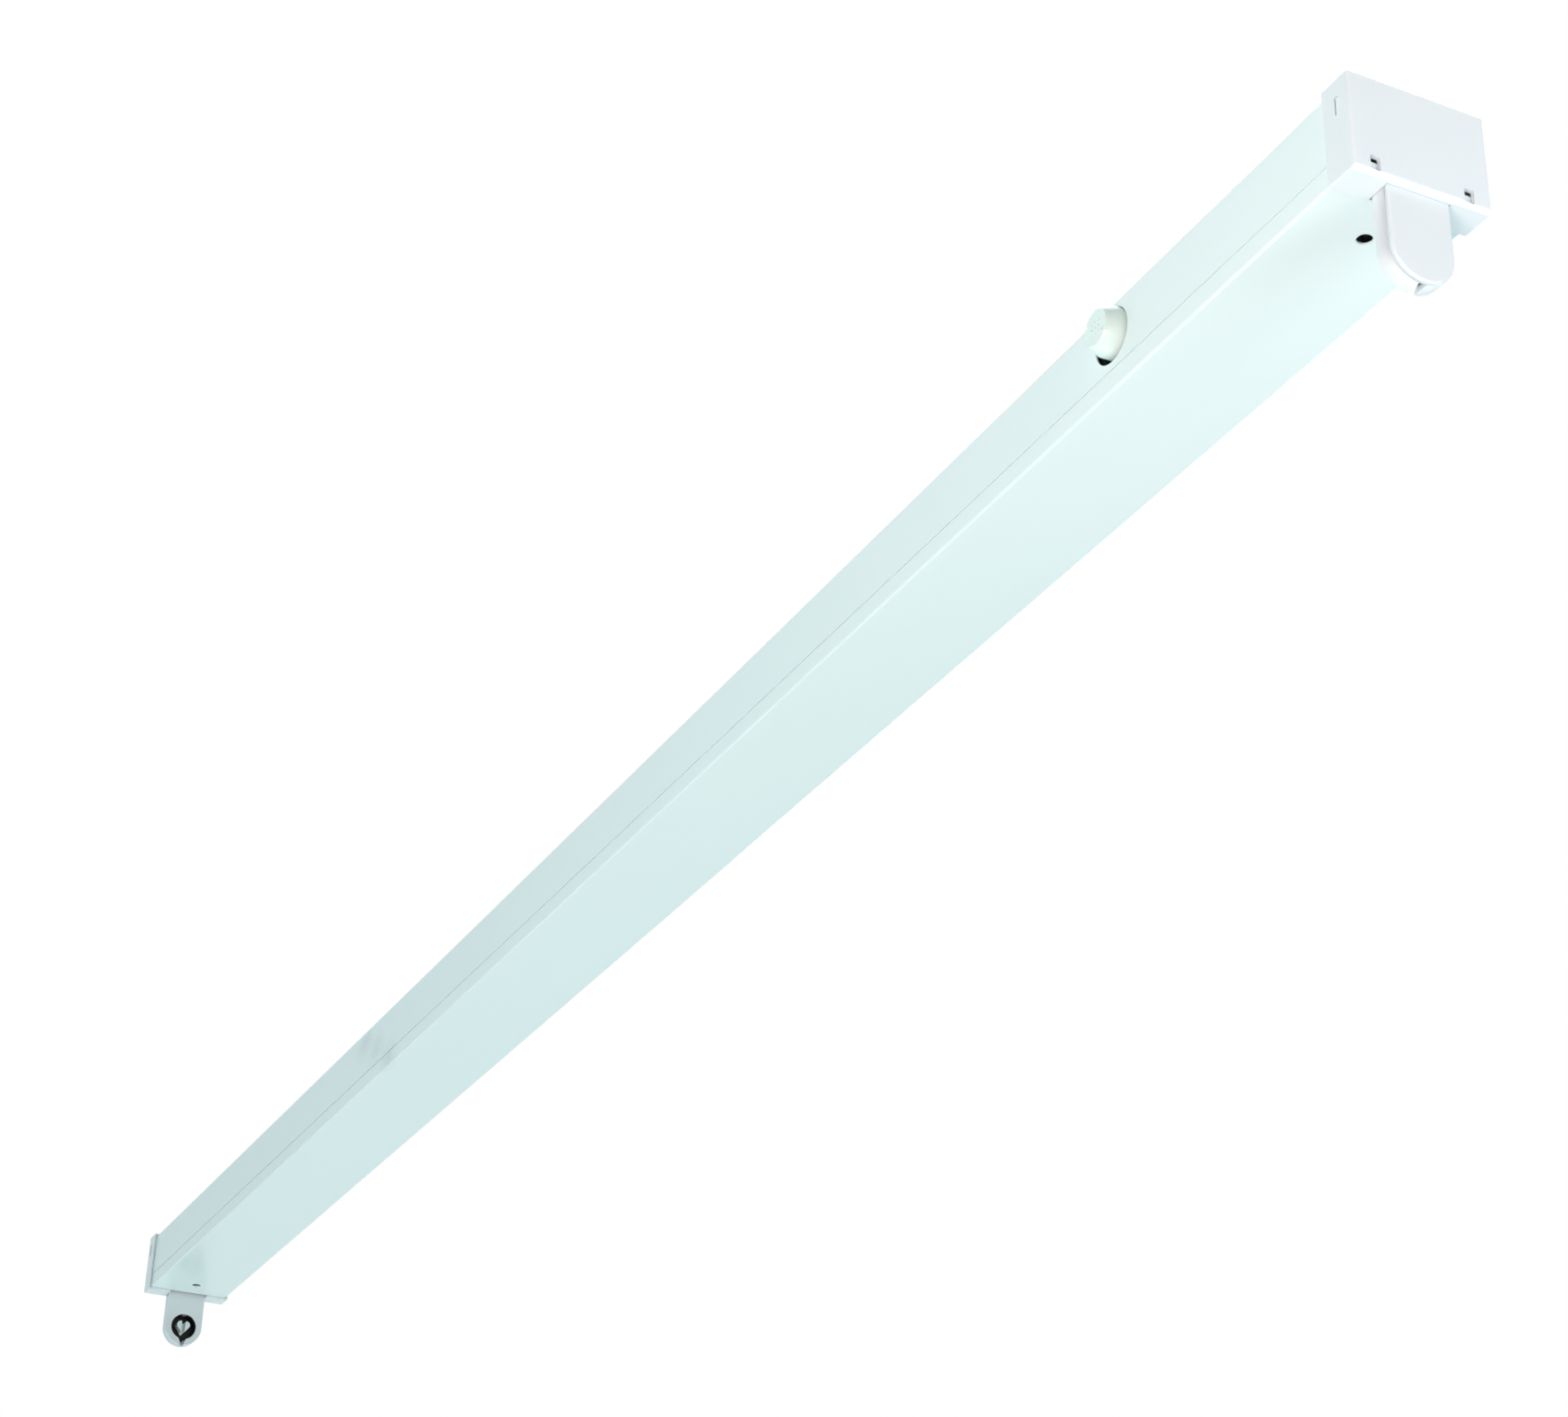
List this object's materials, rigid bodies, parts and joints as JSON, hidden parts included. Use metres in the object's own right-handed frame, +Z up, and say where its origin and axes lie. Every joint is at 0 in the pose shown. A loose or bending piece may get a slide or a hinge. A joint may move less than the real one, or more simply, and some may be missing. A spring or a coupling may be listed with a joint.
{
  "type": "batten light",
  "caption": "Bare ceiling batten for a straight two-pin fluorescent lamp: folded white channel, snap cover, end caps, rotary lampholders, starter, choke.",
  "frame": {"origin": "middle of the ceiling face: the flat top of the centre pad, halfway between the end caps", "axes": "+Z up to the ceiling, +X along the batten to the end nearer the starter, -Y the side wall that carries the starter"},
  "size_m": [1.528, 0.0664, 0.0792],
  "materials": {
    "white_enamel": "semi-gloss white enamel",
    "white_enamel_cover": "semi-gloss white enamel",
    "white_moulding": "smooth white moulding",
    "holder_moulding": "smooth white moulding, slightly grey",
    "black_moulding": "satin black moulding",
    "starter_moulding": "smooth, slightly green white",
    "cream_moulding": "satin cream moulding",
    "bronze": "plain rolled strip",
    "zinc_steel": "bright zinc",
    "lamination_steel": "dark laminations",
    "varnished_winding": "varnished copper winding",
    "grommet_rubber": "matt black rubber",
    "brown_insulation": "satin",
    "white_insulation": "satin",
    "blue_insulation": "satin",
    "green_insulation": "satin green, the earth wire"
  },
  "bodies": {
    "batten": {"spine": "white_enamel", "cover": "white_enamel_cover", "end_cap_right": "white_moulding", "end_cap_left": "white_moulding", "holder_shell_right": "holder_moulding", "holder_shell_left": "holder_moulding", "holder_back_right": "holder_moulding", "holder_back_left": "holder_moulding", "holder_contacts_right": "bronze", "holder_contacts_left": "bronze", "starter_socket": "cream_moulding", "socket_contacts": "bronze", "starter_bracket": "zinc_steel", "ballast_case": "zinc_steel", "ballast_core": "lamination_steel", "ballast_coil": "varnished_winding", "ballast_terminals": "cream_moulding", "ballast_screws": "zinc_steel", "capacitor": "cream_moulding", "capacitor_clip": "cream_moulding", "terminal_block": "cream_moulding", "terminal_screws": "bronze", "terminal_fixings": "zinc_steel", "earth_stud": "zinc_steel", "earth_ring": "bronze", "entry_grommet": "grommet_rubber", "wire_live": "brown_insulation", "wire_choke_lamp": "brown_insulation", "wire_starter_near": "white_insulation", "wire_starter_far": "white_insulation", "wire_neutral": "blue_insulation", "wire_earth": "green_insulation", "wires_capacitor": "white_insulation", "wire_clips": "cream_moulding"},
    "rotor_right": {"rotor_right": "black_moulding", "rotor_core_right": "holder_moulding"},
    "rotor_left": {"rotor_left": "black_moulding", "rotor_core_left": "holder_moulding"},
    "starter": {"starter_can": "starter_moulding", "starter_base": "cream_moulding", "starter_pins": "bronze"}
  },
  "joints": [
    {"name": "rotor_right_turn", "type": "hinge", "parent": "batten", "child": "rotor_right", "pos_m": [0.755, 0, -0.0657], "axis": [1, 0, 0], "range_deg": [-90, 90]},
    {"name": "rotor_left_turn", "type": "hinge", "parent": "batten", "child": "rotor_left", "pos_m": [-0.755, 0, -0.0657], "axis": [1, 0, 0], "range_deg": [-90, 90]},
    {"name": "starter_turn", "type": "hinge", "parent": "batten", "child": "starter", "pos_m": [0.604, -0.015, -0.0142], "axis": [0, -1, 0], "range_deg": [0, 90]}
  ]
}
